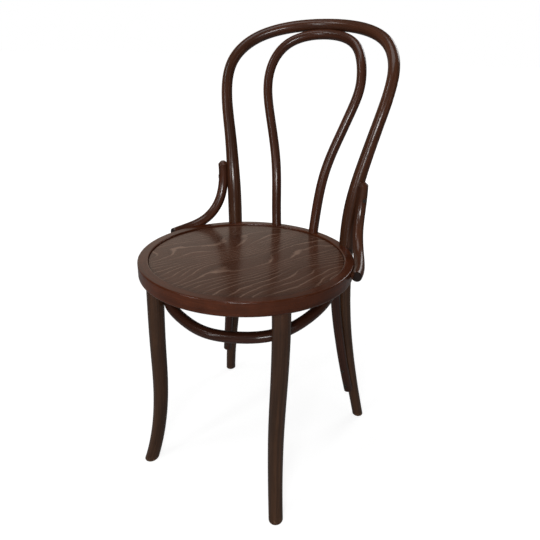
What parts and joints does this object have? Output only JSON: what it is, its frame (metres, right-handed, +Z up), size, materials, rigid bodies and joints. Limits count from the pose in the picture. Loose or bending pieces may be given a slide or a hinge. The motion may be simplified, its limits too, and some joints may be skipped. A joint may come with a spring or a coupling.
{
  "type": "bentwood dining chair",
  "caption": "Bentwood bistro chair with a round plywood seat, a double loop back, hip braces and a hoop under the seat that ties the legs.",
  "frame": {"origin": "on the floor under the middle of the overall box", "axes": "+Z up, front of the chair faces -Y, +X to the right seen from the front"},
  "size_m": [0.447, 0.5418, 0.888],
  "materials": {
    "bent_rod": "dark walnut stain under satin lacquer, grain along each bent rod",
    "ring_wood": "red-brown stain under satin lacquer",
    "ply_face": "brown stained plywood face under satin lacquer, pale flat-sawn grain",
    "dark_steel": "oxidised steel bolts and screws"
  },
  "bodies": {
    "root": {"outer_bow": "bent_rod", "inner_bow": "bent_rod", "seat_ring": "ring_wood", "seat_panel": "ply_face", "front_leg_left": "bent_rod", "front_leg_right": "bent_rod", "side_brace_left": "bent_rod", "side_brace_right": "bent_rod", "leg_hoop": "bent_rod", "post_bolts": "dark_steel", "post_washers": "dark_steel", "post_nuts": "dark_steel", "brace_post_screws": "dark_steel", "brace_ring_screws": "dark_steel", "hoop_front_screws": "dark_steel", "hoop_tail_screws": "dark_steel", "inner_bow_screws": "dark_steel", "crown_screws": "dark_steel"}
  },
  "joints": []
}
